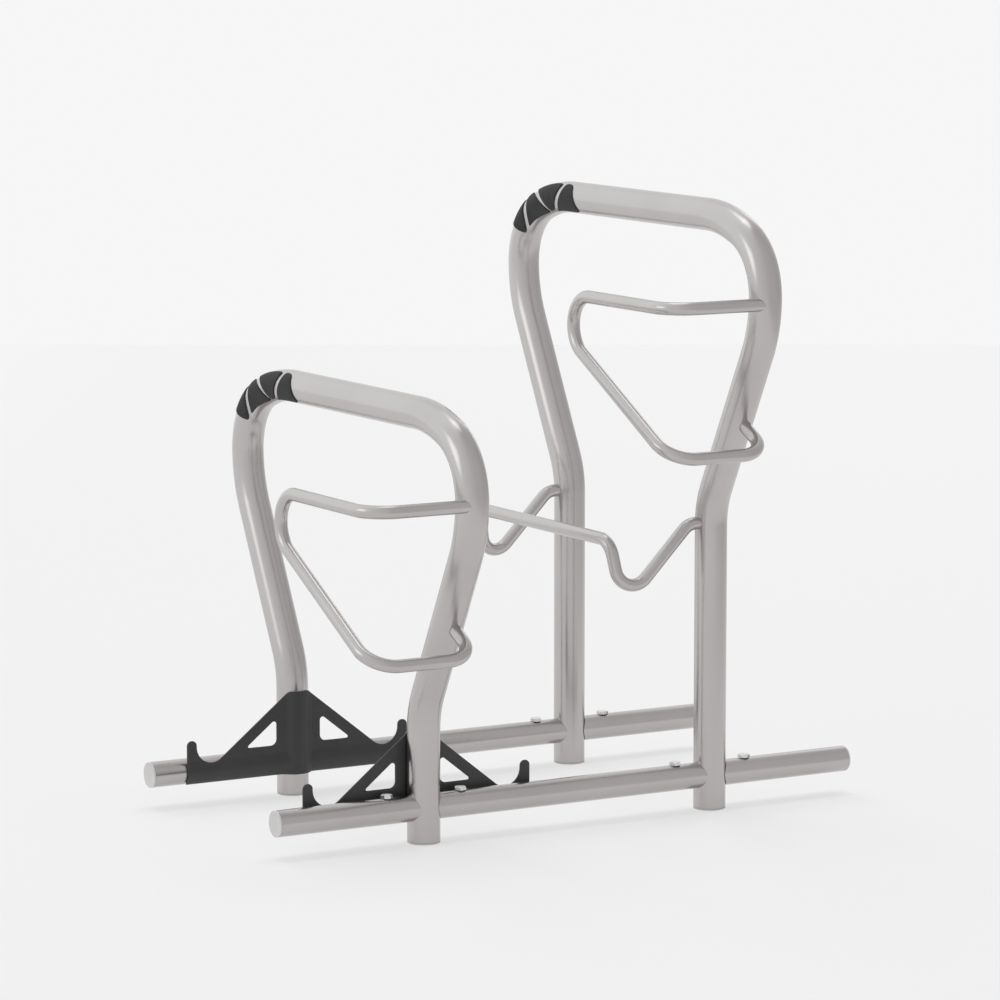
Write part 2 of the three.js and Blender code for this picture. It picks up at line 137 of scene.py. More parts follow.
# How finely the pieces are made
HOOP_SIDES, HOOP_BEND_POINTS = 72, 28
BAR_SIDES, BAR_BEND_POINTS = 40, 20
RAIL_SIDES = 64
DISC_SIDES = 64
BOLT_SIDES = 72
BRACKET_PITCH, BRACKET_MARGIN = 2.4 * MM, 1.3 * MM
PAD_PITCH, PAD_GRID, PAD_MARGIN = 1.3 * MM, 2.2 * MM, 0.8 * MM
SHEET_TOLERANCE = 1e-9

# The two hoops, each with its place along the rack, its height and how far its clamp lies below its top bar
LEG_X = HOOP_SPACING / 2
HOOPS = {
    "low": (-LEG_X, LOW_HOOP_HEIGHT, LOW_CLAMP_DROP),
    "high": (LEG_X, HIGH_HOOP_HEIGHT, HIGH_CLAMP_DROP),
}
ALONG = Vector((1, 0, 0))

# The two sides, each with the place of its legs and its rail across the rack
LEG_Y = LEG_SPACING / 2
SIDES = {"near": -LEG_Y, "far": LEG_Y}


# Nodes
def add(tree, kind, inputs=None, stops=(), **settings):
    """One node with its settings and links. inputs gives a socket, by name or number, a value, another
    node's output, or another node for its first output. stops are a colour ramp's (position, colour)."""
    made = tree.nodes.new(kind)
    for name, value in settings.items():
        setattr(made, name, value)
    for key, value in (inputs or {}).items():
        if isinstance(value, bpy.types.Node):
            value = value.outputs[0]
        if isinstance(value, bpy.types.NodeSocket):
            tree.links.new(value, made.inputs[key])
        else:
            made.inputs[key].default_value = value
    for i, (position, colour) in enumerate(stops):
        elements = made.color_ramp.elements
        element = elements[i] if i < len(elements) else elements.new(position)
        element.position, element.color = position, colour
    return made


def rgb(code):
    """An sRGB hex value as the linear colour that the shaders take."""
    parts = [int(code[i:i + 2], 16) / 255 for i in (1, 3, 5)]
    return tuple(c / 12.92 if c <= 0.04045 else ((c + 0.055) / 1.055) ** 2.4 for c in parts) + (1,)


def grey(level):
    """A plain number as a colour ramp's colour."""
    return (level, level, level, 1)


def new_material(name):
    """An empty material, its tree and the place on the piece that its patterns follow."""
    material = bpy.data.materials.new(name)
    material.use_nodes = True
    tree = material.node_tree
    tree.nodes.clear()
    return material, tree, add(tree, "ShaderNodeTexCoord").outputs["Object"]


# Materials
def satin_stainless_steel():
    """Satin stainless steel, ground and then dulled: a warm grey metal whose soft sheen drifts a little
    along each tube. The grit of the wheel is about 0.1 mm wide. It is drawn at 1.6 mm, as coarse as it
    needs to show, and takes the hard edge off each highlight."""
    material, tree, place = new_material("satin_stainless_steel")
    drift = add(tree, "ShaderNodeTexNoise", {"Vector": place, "Scale": 1 / (140 * MM), "Detail": 3})
    grit = add(tree, "ShaderNodeTexNoise", {
        "Vector": place, "Scale": 1 / (1.6 * MM), "Detail": 4, "Roughness": 0.65,
    })
    colour = add(tree, "ShaderNodeValToRGB", {"Fac": drift}, [(0.3, rgb("#bcb8b7")), (0.7, rgb("#c2bebd"))])
    sheen = add(tree, "ShaderNodeValToRGB", {"Fac": drift}, [(0.3, grey(0.22)), (0.7, grey(0.26))])
    scatter = add(tree, "ShaderNodeValToRGB", {"Fac": grit}, [(0.35, grey(0.0)), (0.65, grey(0.02))])
    roughness = add(tree, "ShaderNodeMath", {0: sheen, 1: scatter}, operation="ADD")
    bump = add(tree, "ShaderNodeBump", {"Height": grit, "Distance": 0.02 * MM, "Strength": 0.06})
    shader = add(tree, "ShaderNodeBsdfPrincipled", {
        "Base Color": colour, "Roughness": roughness, "Metallic": 1.0, "Normal": bump,
    })
    add(tree, "ShaderNodeOutputMaterial", {"Surface": shader})
    return material


def bright_zinc_plate():
    """Bright zinc plating on the bolts: the palest metal on the rack, with a faint mottle a few millimetres
    across, in which the shine comes and goes."""
    material, tree, place = new_material("bright_zinc_plate")
    mottle = add(tree, "ShaderNodeTexNoise", {"Vector": place, "Scale": 1 / (5 * MM), "Detail": 3})
    colour = add(tree, "ShaderNodeValToRGB", {"Fac": mottle}, [
        (0.3, rgb("#dad9d8")), (0.7, rgb("#e5e4e3")),
    ])
    roughness = add(tree, "ShaderNodeValToRGB", {"Fac": mottle}, [(0.3, grey(0.26)), (0.7, grey(0.38))])
    shader = add(tree, "ShaderNodeBsdfPrincipled", {
        "Base Color": colour, "Roughness": roughness, "Metallic": 0.85,
    })
    add(tree, "ShaderNodeOutputMaterial", {"Surface": shader})
    return material


def blasted_cap_steel():
    """Matt blasted steel of the end caps: paler and flatter than the tubes, so that the ends read as discs.
    The pits of the blasting are about 0.2 mm wide. They are drawn at 0.9 mm, as coarse as they need to
    show."""
    material, tree, place = new_material("blasted_cap_steel")
    pits = add(tree, "ShaderNodeTexNoise", {
        "Vector": place, "Scale": 1 / (0.9 * MM), "Detail": 3, "Roughness": 0.6,
    })
    cloud = add(tree, "ShaderNodeTexNoise", {"Vector": place, "Scale": 1 / (30 * MM), "Detail": 2})
    colour = add(tree, "ShaderNodeValToRGB", {"Fac": cloud}, [(0.3, rgb("#dddbdb")), (0.7, rgb("#e4e2e1"))])
    bump = add(tree, "ShaderNodeBump", {"Height": pits, "Distance": 0.03 * MM, "Strength": 0.4})
    shader = add(tree, "ShaderNodeBsdfPrincipled", {
        "Base Color": colour, "Roughness": 0.55, "Metallic": 0.35, "Normal": bump,
    })
    add(tree, "ShaderNodeOutputMaterial", {"Surface": shader})
    return material


def moulded_black_nylon():
    """Black glass filled nylon, moulded in a spark eroded tool: a charcoal face with a soft broad sheen and
    no mirror in it. The grain of the tool is about 0.3 mm wide and 0.06 mm high, and is drawn at 1.1 mm, as
    coarse as it needs to show."""
    material, tree, place = new_material("moulded_black_nylon")
    grain = add(tree, "ShaderNodeTexNoise", {
        "Vector": place, "Scale": 1 / (1.1 * MM), "Detail": 3, "Roughness": 0.6,
    })
    cloud = add(tree, "ShaderNodeTexNoise", {"Vector": place, "Scale": 1 / (60 * MM), "Detail": 2})
    colour = add(tree, "ShaderNodeValToRGB", {"Fac": cloud}, [(0.3, rgb("#383839")), (0.7, rgb("#3e3e3e"))])
    roughness = add(tree, "ShaderNodeValToRGB", {"Fac": grain}, [(0.3, grey(0.42)), (0.7, grey(0.56))])
    bump = add(tree, "ShaderNodeBump", {"Height": grain, "Distance": 0.06 * MM, "Strength": 0.5})
    shader = add(tree, "ShaderNodeBsdfPrincipled", {
        "Base Color": colour, "Roughness": roughness, "IOR": 1.53, "Normal": bump,
    })
    add(tree, "ShaderNodeOutputMaterial", {"Surface": shader})
    return material


def moulded_black_rubber():
    """Moulded black rubber of the pads: flat and dry, a shade greyer than the brackets, with a fine bloom.
    Its grain is about 0.3 mm wide, and is drawn at 0.9 mm, as coarse as it needs to show."""
    material, tree, place = new_material("moulded_black_rubber")
    grain = add(tree, "ShaderNodeTexNoise", {
        "Vector": place, "Scale": 1 / (0.9 * MM), "Detail": 3, "Roughness": 0.7,
    })
    bloom = add(tree, "ShaderNodeTexNoise", {"Vector": place, "Scale": 1 / (18 * MM), "Detail": 3})
    colour = add(tree, "ShaderNodeValToRGB", {"Fac": bloom}, [(0.3, rgb("#3a3a3a")), (0.7, rgb("#414141"))])
    bump = add(tree, "ShaderNodeBump", {"Height": grain, "Distance": 0.05 * MM, "Strength": 0.5})
    shader = add(tree, "ShaderNodeBsdfPrincipled", {
        "Base Color": colour, "Roughness": 0.8, "IOR": 1.5, "Specular IOR Level": 0.28, "Normal": bump,
    })
    add(tree, "ShaderNodeOutputMaterial", {"Surface": shader})
    return material


# The finish of each of the record's material slots
FINISHES = {
    "steel": satin_stainless_steel(), "bolt": bright_zinc_plate(), "cap": blasted_cap_steel(),
    "bracket": moulded_black_nylon(), "pad": moulded_black_rubber(),
}


# Making meshes
def new_object(name, data):
    made = bpy.data.objects.new(name, data)
    bpy.context.scene.collection.objects.link(made)
    return made


def mesh_object(name, points, faces, edges=()):
    mesh = bpy.data.meshes.new(name)
    mesh.from_pydata([tuple(p) for p in points], list(edges), list(faces))
    mesh.update()
    return new_object(name, mesh)


def joined(rows):
    """Faces between closed rows of point numbers. A row that repeats one number is a pole."""
    faces = []
    for low, high in zip(rows, rows[1:]):
        for k in range(len(low)):
            m = (k + 1) % len(low)
            faces.append(tuple(dict.fromkeys((low[k], low[m], high[m], high[k]))))
    return faces


def outward(thing):
    """Turns every face of a closed mesh outward."""
    body = bmesh.new()
    body.from_mesh(thing.data)
    bmesh.ops.recalc_face_normals(body, faces=body.faces)
    body.to_mesh(thing.data)
    body.free()


def finish_piece(thing, slot, nodes, sharp=35):
    """Smooth faces with crisp edges past sharp degrees, the finish, the body and the CAD nodes replaced."""
    mesh = thing.data
    mesh.shade_smooth()
    mesh.set_sharp_from_angle(angle=radians(sharp))
    if not mesh.materials:
        mesh.materials.append(FINISHES[slot])
    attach(thing, "root")
    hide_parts(*nodes)


def new_tree(name, sockets):
    """A geometry node tree with Geometry in and out and the named inputs."""
    tree = bpy.data.node_groups.new(name, "GeometryNodeTree")
    tree.interface.new_socket("Geometry", in_out="INPUT", socket_type="NodeSocketGeometry")
    for title, kind in sockets:
        tree.interface.new_socket(title, in_out="INPUT", socket_type=f"NodeSocket{kind}")
    tree.interface.new_socket("Geometry", in_out="OUTPUT", socket_type="NodeSocketGeometry")
    return tree, add(tree, "NodeGroupInput").outputs


def bent_tube_tree():
    """Rounds the corners of a route by their bend radius and sweeps a circle along it."""
    tree, given = new_tree("bent_tube", [
        ("Tube Radius", "Float"), ("Sides", "Int"), ("Bend Points", "Int"), ("Material", "Material"),
    ])
    route = add(tree, "GeometryNodeMeshToCurve", {"Mesh": given["Geometry"]})
    bend = add(tree, "GeometryNodeInputNamedAttribute", {"Name": "bend_radius"}, data_type="FLOAT")
    rounded = add(tree, "GeometryNodeFilletCurve", {
        "Curve": route, "Radius": bend.outputs["Attribute"], "Count": given["Bend Points"],
    }, mode="POLY")
    section = add(tree, "GeometryNodeCurvePrimitiveCircle", {
        "Resolution": given["Sides"], "Radius": given["Tube Radius"],
    }, mode="RADIUS")
    swept = add(tree, "GeometryNodeCurveToMesh", {
        "Curve": rounded, "Profile Curve": section, "Fill Caps": True,
    })
    real = add(tree, "GeometryNodeRealizeInstances", {"Geometry": swept})
    painted = add(tree, "GeometryNodeSetMaterial", {"Geometry": real, "Material": given["Material"]})
    add(tree, "NodeGroupOutput", {"Geometry": painted})
    return tree


def set_out_tree():
    """Sets a small part on every point, turned as the point's own turn says."""
    tree, given = new_tree("set_out", [("Part", "Object"), ("Material", "Material")])
    part = add(tree, "GeometryNodeObjectInfo", {"Object": given["Part"]})
    turn = add(tree, "GeometryNodeInputNamedAttribute", {"Name": "turn"}, data_type="FLOAT_VECTOR")
    rotation = add(tree, "FunctionNodeEulerToRotation", {"Euler": turn.outputs["Attribute"]})
    copies = add(tree, "GeometryNodeInstanceOnPoints", {
        "Points": given["Geometry"], "Instance": part.outputs["Geometry"], "Rotation": rotation,
    })
    real = add(tree, "GeometryNodeRealizeInstances", {"Geometry": copies})
    painted = add(tree, "GeometryNodeSetMaterial", {"Geometry": real, "Material": given["Material"]})
    add(tree, "NodeGroupOutput", {"Geometry": painted})
    return tree


BENT_TUBE = bent_tube_tree()
SET_OUT = set_out_tree()


def grown(seed, name, tree, inputs):
    """Runs a node tree on seed and keeps its result as a plain mesh object called name."""
    modifier = seed.modifiers.new("grow", "NODES")
    modifier.node_group = tree
    for item in tree.interface.items_tree:
        if item.item_type == "SOCKET" and item.in_out == "INPUT" and item.name in inputs:
            modifier[item.identifier] = inputs[item.name]
    bpy.context.view_layer.update()
    graph = bpy.context.evaluated_depsgraph_get()
    mesh = bpy.data.meshes.new_from_object(seed.evaluated_get(graph))
    mesh.name = name
    seed.modifiers.remove(modifier)
    bpy.data.objects.remove(seed)
    return new_object(name, mesh)


def tube(name, corners, radius, sides, bend_points=1):
    """A bent steel tube through corners, each of which is (point, bend radius)."""
    links = [(i, i + 1) for i in range(len(corners) - 1)]
    seed = mesh_object(name + "_route", [p for p, _ in corners], [], links)
    radii = seed.data.attributes.new("bend_radius", "FLOAT", "POINT")
    radii.data.foreach_set("value", [r for _, r in corners])
    made = grown(seed, name, BENT_TUBE, {
        "Tube Radius": radius, "Sides": sides, "Bend Points": bend_points, "Material": FINISHES["steel"],
    })
    outward(made)
    return made


def set_out(name, part, places, slot):
    """Copies of part at places, each of which is (point, turn)."""
    seed = mesh_object(name + "_places", [p for p, _ in places], [])
    turns = seed.data.attributes.new("turn", "FLOAT_VECTOR", "POINT")
    turns.data.foreach_set("vector", [x for _, turn in places for x in turn])
    made = grown(seed, name, SET_OUT, {"Part": part, "Material": FINISHES[slot]})
    bpy.data.objects.remove(part)
    return made


def surface_of(thing):
    """A piece's surface, for rays to hit."""
    mesh = thing.data
    return BVHTree.FromPolygons([v.co for v in mesh.vertices], [p.vertices for p in mesh.polygons])


def cope(bar, sides, ends, surface, gap):
    """Slides the end rings of a tube along it, so that they follow the surface that they meet. ends holds 0
    for the tube's start and 1 for its other end. gap is the air left there, or is below zero for a weld."""
    points = bar.data.vertices
    rings = len(points) // sides
    # A straight tube has no ring but those at its ends, so its rays start from its middle.
    share = 1.0 if rings > 2 else 0.5
    for end in ends:
        ring, beside = (rings - 1, rings - 2) if end else (0, 1)
        for k in range(sides):
            tip, back = points[ring * sides + k], points[beside * sides + k].co
            start = tip.co.lerp(back, share)
            heading = (tip.co - back).normalized()
            hit = surface.ray_cast(start, heading)[0]
            tip.co = hit - heading * gap
    bar.data.update()


def near_and_far(half):
    """A route from the near side to the far one, given its far half as (x, y, z, bend radius)."""
    near = [(Vector((x, -y, z)), radius) for x, y, z, radius in half]
    far = [(Vector((x, y, z)), radius) for x, y, z, radius in reversed(half)]
    return near + far


# Hoops
def hoop_levels(height):
    """Where the corners of a hoop's axis lie, worked out from its top bar down."""
    top = height - HOOP_RADIUS
    widest = HOOP_WIDTH / 2 - HOOP_RADIUS
    crown = CROWN_RADIUS * tan(CROWN_TURN / 2)
    shoulder = SHOULDER_RADIUS * tan((pi / 2 - CROWN_TURN) / 2)
    sweep = SWEEP_RADIUS * tan(LEG_SLANT / 2)
    brow = crown + CROWN_RUN + shoulder
    crown_y = widest - brow * cos(CROWN_TURN)
    shoulder_z = top - brow * sin(CROWN_TURN)
    sweep_z = shoulder_z - shoulder - sweep
    knee_z = sweep_z - (widest - LEG_Y) / tan(LEG_SLANT)
    return top, widest, crown_y, shoulder_z, sweep_z, knee_z


def hoop_corners(x, height):
    """A hoop's route: from its near foot over the top bar to its far foot."""
    top, widest, crown_y, shoulder_z, sweep_z, knee_z = hoop_levels(height)
    return near_and_far([
        (x, LEG_Y, FOOT_HEIGHT, 0.0),
        (x, LEG_Y, knee_z, KNEE_RADIUS),
        (x, widest, sweep_z, SWEEP_RADIUS),
        (x, widest, shoulder_z, SHOULDER_RADIUS),
        (x, crown_y, top, CROWN_RADIUS),
    ])


hoop_surfaces = {}
for tier, (x, height, _) in HOOPS.items():
    hoop = tube(f"{tier}_hoop_tube", hoop_corners(x, height), HOOP_RADIUS, HOOP_SIDES, HOOP_BEND_POINTS)
    hoop_surfaces[tier] = surface_of(hoop)
    finish_piece(hoop, "steel", [f"{tier}_hoop"])


# Wheel clamps and cradle
def clamp_corners(x, height, drop):
    """The clamp's route: out from the widest place of the hoop, along beside it and back down to the leg."""
    top, widest, _, _, _, knee_z = hoop_levels(height)
    side = -widest - CLAMP_OFFSET
    bar_top = top - drop
    nose = side + CLAMP_LENGTH - CLAMP_BEND + CLAMP_BEND / tan(CLAMP_SLOPE / 2)
    bar_foot = bar_top - (nose - side) * tan(CLAMP_SLOPE)
    to_leg = (-side - LEG_Y) * cos(LEG_SLANT) + (knee_z - bar_foot) * sin(LEG_SLANT)
    return [
        (Vector((x, side, bar_top)), 0.0),
        (Vector((x - CLAMP_REACH, side, bar_top)), CLAMP_BEND),
        (Vector((x - CLAMP_REACH, nose, bar_top)), CLAMP_BEND),
        (Vector((x - CLAMP_REACH, side, bar_foot)), CLAMP_BEND),
        (Vector((x, side, bar_foot)), CLAMP_BEND),
        (Vector((x, side + to_leg * cos(LEG_SLANT), bar_foot + to_leg * sin(LEG_SLANT))), 0.0),
    ]


for tier, (x, height, drop) in HOOPS.items():
    bar = tube(f"{tier}_clamp_bar", clamp_corners(x, height, drop), BAR_RADIUS, BAR_SIDES, BAR_BEND_POINTS)
    cope(bar, BAR_SIDES, (0, 1), hoop_surfaces[tier], -WELD_DEPTH)
    finish_piece(bar, "steel", [f"{tier}_wheel_clamp"])


def cradle_corners(x):
    """The cradle's route: out from each leg below its knee, into a dip, and up to the bar that crosses."""
    height = hoop_levels(HIGH_HOOP_HEIGHT)[-1] - CRADLE_KNEE_DROP
    return near_and_far([
        (x, LEG_Y, height, 0.0),
        (x - CRADLE_SHOULDER, LEG_Y, height, CRADLE_BEND),
        (x - CRADLE_DIP_REACH, LEG_Y, height - CRADLE_DIP, CRADLE_BEND),
        (x - CRADLE_BAR_REACH, CRADLE_BAR_WIDTH / 2, height - CRADLE_BAR_DROP, CRADLE_BEND),
    ])


cradle = tube("high_cradle_bar", cradle_corners(LEG_X), BAR_RADIUS, BAR_SIDES, BAR_BEND_POINTS)
cope(cradle, BAR_SIDES, (0, 1), hoop_surfaces["high"], -WELD_DEPTH)
finish_piece(cradle, "steel", ["high_wheel_cradle"])

# Floor rails: each with its two ends, and the hoop, the end and the gap of each cope
RAIL_END = RAIL_LENGTH / 2 - CAP_THICKNESS - SEAT_GAP
RAILS = {
    "left": (-RAIL_END, -LEG_X, [("low", 1, SEAT_GAP)]),
    "middle": (-LEG_X, LEG_X, [("low", 0, SEAT_GAP), ("high", 1, SEAT_GAP)]),
    "right": (LEG_X, RAIL_END, [("high", 0, COPE_GAP)]),
}
for side, y in SIDES.items():
    for part, (left, right, copes) in RAILS.items():
        corners = [(Vector((x, y, RAIL_HEIGHT)), 0.0) for x in (left, right)]
        rail = tube(f"{side}_{part}_rail_tube", corners, RAIL_RADIUS, RAIL_SIDES)
        for tier, end, gap in copes:
            cope(rail, RAIL_SIDES, (end,), hoop_surfaces[tier], gap)
        finish_piece(rail, "steel", [f"{side}_rail_{part}"])


# Caps, plugs and bolts
def ring(spots):
    """Points at even angles round the Z axis, one for each (radius, height)."""
    angles = [2 * pi * k / len(spots) for k in range(len(spots))]
    return [(r * cos(a), r * sin(a), z) for (r, z), a in zip(spots, angles)]


def turned(name, profile):
    """A disc turned about the Z axis. profile is (radius, height), and its ends lie on the axis."""
    points, rows = [], []
    for radius, height in profile:
        first = len(points)
        if radius == 0:
            rows.append([first] * DISC_SIDES)
            points.append((0, 0, height))
        else:
            rows.append(range(first, first + DISC_SIDES))
            points += ring([(radius, height)] * DISC_SIDES)
    made = mesh_object(name, points, joined(rows))
    outward(made)
    return made


def end_cap(name, radius, bore):
    """A disc with a rounded rim, a faint dish in its face and a cup that goes up the bore."""
    dish, slope, steps = 0.86 * radius, 0.9 * radius, 4
    cup = bore - CUP_CLEARANCE
    depth = CAP_THICKNESS + CUP_DEPTH
    quarter = [pi / 2 * k / steps for k in range(steps + 1)]
    profile = [(0.0, CAP_DISH), (dish, CAP_DISH), (slope, 0.0)]
    profile += [(radius - CAP_ROUND + CAP_ROUND * sin(a), CAP_ROUND - CAP_ROUND * cos(a)) for a in quarter]
    profile += [
        (radius, CAP_THICKNESS), (cup, CAP_THICKNESS), (cup, depth), (cup - CUP_WALL, depth),
        (cup - CUP_WALL, CAP_THICKNESS), (0.0, CAP_THICKNESS),
    ]
    return turned(name, profile)


foot_places = [(Vector((x, y, 0)), (0, 0, 0)) for x in (-LEG_X, LEG_X) for y in SIDES.values()]
plugs = set_out("foot_plug_discs", end_cap("plug", HOOP_RADIUS, HOOP_BORE), foot_places, "cap")
finish_piece(plugs, "cap", [f"{side}_{tier}_foot_plug" for side in SIDES for tier in HOOPS])

cap_places = [
    (Vector((end * RAIL_LENGTH / 2, y, RAIL_HEIGHT)), (0, -end * pi / 2, 0))
    for end in (-1, 1) for y in SIDES.values()
]
caps = set_out("rail_end_discs", end_cap("cap", RAIL_RADIUS, RAIL_BORE), cap_places, "cap")
finish_piece(caps, "cap", [f"{side}_rail_cap_{end}" for side in SIDES for end in ("left", "right")])


def bolt_part():
    """A plain shank under a hexagon head. The head's top corners are turned off, down to a round face."""
    face = 0.96 * BOLT_FLATS / 2
    angles = [2 * pi * k / BOLT_SIDES for k in range(BOLT_SIDES)]
    hexagon = [BOLT_FLATS / 2 / cos((a + pi / 6) % (pi / 3) - pi / 6) for a in angles]
    outlines = [
        [(BOLT_RADIUS, -BOLT_LENGTH)] * BOLT_SIDES,
        [(BOLT_RADIUS, 0.0)] * BOLT_SIDES,
        [(r, 0.0) for r in hexagon],
        [(r, BOLT_HEAD - (r - face) * tan(BOLT_CHAMFER)) for r in hexagon],
        [(face, BOLT_HEAD)] * BOLT_SIDES,
    ]
    points = [p for outline in outlines for p in ring(outline)]
    rows = [range(i * BOLT_SIDES, (i + 1) * BOLT_SIDES) for i in range(len(outlines))]
    made = mesh_object("bolt", points, joined(rows) + [tuple(reversed(rows[0])), tuple(rows[-1])])
    outward(made)
    return made


# The four bolts of a rail: the place along the rack, and the degrees that the head is turned by
BOLTS = [
    (-LEG_X - BOLT_OFFSET, 11), (-LEG_X + BOLT_OFFSET, 38),
    (LEG_X - BOLT_OFFSET, 24), (LEG_X + BOLT_OFFSET, 5),
]
bolt_seat = RAIL_HEIGHT + RAIL_RADIUS + SEAT_GAP
bolt_places = [
    (Vector((x, y, bolt_seat)), (0, 0, radians(turn))) for x, turn in BOLTS for y in SIDES.values()
]
bolts = set_out("rail_bolt_heads", bolt_part(), bolt_places, "bolt")
finish_piece(bolts, "bolt", [f"{side}_rail_bolt_{i}" for side in SIDES for i in (1, 2, 3, 4)], 20)


# Moulded sheets
def rounded_outline(corners, pitch):
    """Points round a closed outline, pitch apart. corners are (across, height, radius)."""
    count = len(corners)
    places = [Vector(c[:2]) for c in corners]
    points = []
    for i, (_, _, radius) in enumerate(corners):
        at, before, after = places[i], places[i - 1], places[(i + 1) % count]
        into, out = (at - before).normalized(), (after - at).normalized()
        turn = into.angle_signed(out, 0)
        reach = radius * tan(abs(turn) / 2)
        if radius > 0:
            start = at - into * reach
            steps = max(4, int(radius * abs(turn) / (pitch / 2)))
            inward = Vector((into.y, -into.x)) if turn > 0 else Vector((-into.y, into.x))
            for k in range(steps):
                a = abs(turn) * k / steps
                points.append(start + into * (radius * sin(a)) + inward * (radius * (1 - cos(a))))
        begin = at + out * reach
        next_radius = corners[(i + 1) % count][2]
        beyond = places[(i + 2) % count]
        next_turn = abs(out.angle_signed((beyond - after).normalized(), 0))
        stop = after - out * (next_radius * tan(next_turn / 2))
        steps = max(1, round((stop - begin).length / pitch))
        points += [begin.lerp(stop, k / steps) for k in range(steps)]
    return points


def signed_area(loop):
    """The area inside a closed loop, below zero where it goes clockwise."""
    return sum(a.x * b.y - b.x * a.y for a, b in zip(loop, loop[1:] + loop[:1])) / 2


def drawn_in(loop, distance):
    """The loop moved to the left of its direction by distance."""
    count = len(loop)
    moved = []
    for i, at in enumerate(loop):
        into = (at - loop[i - 1]).normalized()
        out = (loop[(i + 1) % count] - at).normalized()
        left = Vector((-into.y - out.y, into.x + out.x)).normalized()
        # A corner moves farther than its sides, but never more than twice as far.
        stretch = 1 / max(0.5, left.dot(Vector((-into.y, into.x))))
        moved.append(at + left * (distance * stretch))
    return moved


def inside(points, loop):
    """Which points (N by 2) lie inside a closed loop."""
    x, y = points[:, 0], points[:, 1]
    corners = np.array([tuple(p) for p in loop])
    result = np.zeros(len(points), bool)
    for (ax, ay), (bx, by) in zip(corners, np.roll(corners, -1, 0)):
        if ay != by:
            result ^= ((ay > y) != (by > y)) & (x < (bx - ax) * (y - ay) / (by - ay) + ax)
    return result


def on_sheet(points, loops):
    """Which points lie inside the first loop, the outline, and outside the others, its windows."""
    result = inside(points, loops[0])
    for window in loops[1:]:
        result &= ~inside(points, window)
    return result


def sheet_edge(loop, place, edge, points, faces):
    """Adds the rounded edge of a sheet along one loop. Gives the loop drawn in to the flat of the sheet and
    the numbers of its points on the back and on the front."""
    sides = []
    for front in (0, 1):
        rows = []
        # The rows of a quarter round, as shares of the way in from the sheet's outline
        for share in (0.0, 0.12, 0.4, 1.0):
            drop = edge * (1 - sqrt(max(0, 1 - (1 - share) ** 2)))
            inner = drawn_in(loop, edge * share)
            rows.append(range(len(points), len(points) + len(loop)))
            points += [place(p.x, p.y, front, drop) for p in inner]
        faces += joined(rows)
        sides.append(rows)
    back, front = sides
    faces += joined([back[0], front[0]])
    return inner, back[-1], front[-1]


def moulded_sheet(name, loops, grid, place, edge, margin):
    """A closed sheet between a front and a back surface, with rounded edges. loops are its outline and then
    its windows. grid are loose points, which are kept where they lie on the sheet and margin off its loops.
    place(u, v, front, drop) puts a point of the front or the back in space, drop under its face."""
    loops = [loop if (signed_area(loop) > 0) == (i == 0) else loop[::-1] for i, loop in enumerate(loops)]
    points, faces = [], []
    edges = [sheet_edge(loop, place, edge, points, faces) for loop in loops]
    rims = [rim for rim, _, _ in edges]
    flat = [p for rim in rims for p in rim]
    pairs = [pair for _, back, front in edges for pair in zip(back, front)]
    links = []
    for rim in rims:
        first = len(links)
        links += [(first + k, first + (k + 1) % len(rim)) for k in range(len(rim))]
    loose = np.array(grid)
    loose = loose[on_sheet(loose, rims)]
    line = np.array([tuple(p) for p in flat])
    gaps = np.min(np.hypot(loose[:, None, 0] - line[None, :, 0], loose[:, None, 1] - line[None, :, 1]), 1)
    loose = [Vector(p) for p in loose[gaps > margin]]
    places, _, triangles, sources = delaunay_2d_cdt(flat + loose, links, [], 0, SHEET_TOLERANCE)[:4]
    numbers = []
    for p, source in zip(places, sources):
        if source and source[0] < len(flat):
            numbers.append(pairs[source[0]])
        else:
            numbers.append((len(points), len(points) + 1))
            points += [place(p.x, p.y, 0, 0.0), place(p.x, p.y, 1, 0.0)]
    centres = np.array([tuple(sum((places[i] for i in t), Vector((0, 0))) / 3) for t in triangles])
    for triangle, kept in zip(triangles, on_sheet(centres, rims)):
        if kept:
            faces.append(tuple(numbers[i][1] for i in triangle))
            faces.append(tuple(numbers[i][0] for i in reversed(triangle)))
    made = mesh_object(name, points, faces)
    outward(made)
    return made


# Wheel brackets
BRACKET_HEAD = RAIL_HEIGHT + BRACKET_RISE
BRACKET_FOOT = RAIL_HEIGHT - (RAIL_RADIUS + BRACKET_SHELL) * sin(BRACKET_WRAP)
BRACKET_END = BRACKET_LENGTH / 2
NOTCH_SIDE = BRACKET_END - HOOK_WIDTH
SLOPE_RUN = NOTCH_SIDE - NOTCH_RADIUS - BRACKET_TOP / 2
SLOPE_FALL = BRACKET_RISE - NOTCH_RISE - NOTCH_RADIUS
SLOPE = atan2(SLOPE_FALL, SLOPE_RUN) + asin(NOTCH_RADIUS / hypot(SLOPE_RUN, SLOPE_FALL))


def slope_height(across):
    """The height of the bracket's sloping edge, across from its middle."""
    return BRACKET_HEAD - (across - BRACKET_TOP / 2) * tan(SLOPE)


